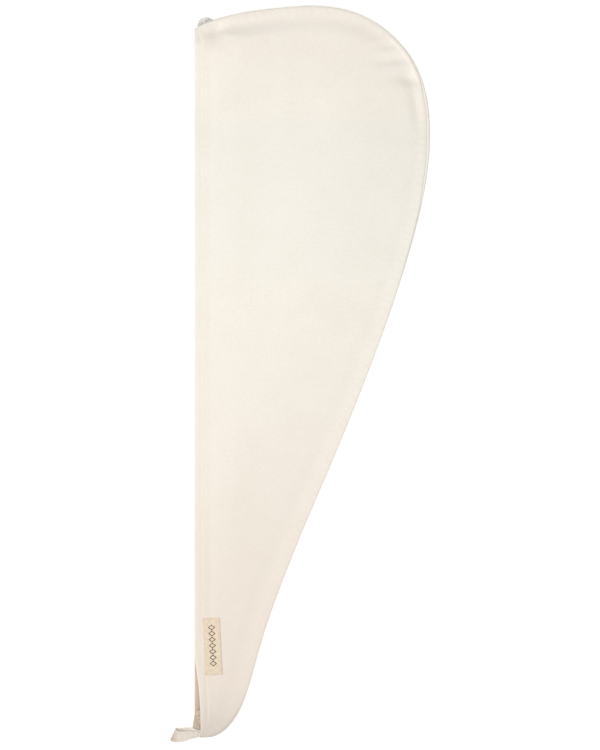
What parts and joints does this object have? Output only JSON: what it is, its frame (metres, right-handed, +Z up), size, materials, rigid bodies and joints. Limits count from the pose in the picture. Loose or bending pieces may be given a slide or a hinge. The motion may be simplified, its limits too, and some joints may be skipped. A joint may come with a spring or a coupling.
{
  "type": "hair towel",
  "caption": "Hair-drying towel of ribbed cotton, lying flat: a long teardrop pocket of sewn panels, open along the straight hem, with nape button, tail loop and side label.",
  "frame": {"origin": "middle of the bottom of the bounding box, on the surface that the towel lies on", "axes": "+Z up; +Y along the straight hem towards the nape corner and the crown; +X from the hem towards the curved seam"},
  "size_m": [0.2738, 0.774, 0.0175],
  "materials": {
    "ribbed_cotton": "undyed cream cotton with fine crosswise ribs, matt",
    "overlocked_cotton": "cut edge under overlock stitches, matt",
    "cotton_tape": "plain woven cotton tape, matt",
    "woven_label": "tan woven label tape, matt",
    "shell_button": "grey mottled polyester, satin",
    "sewing_thread": "cream cotton thread"
  },
  "bodies": {
    "root": {"front_panel": "ribbed_cotton", "back_panel": "ribbed_cotton", "inner_seam": "overlocked_cotton", "tail_loop": "cotton_tape", "label": "woven_label", "button": "shell_button", "button_thread": "sewing_thread"}
  },
  "joints": []
}
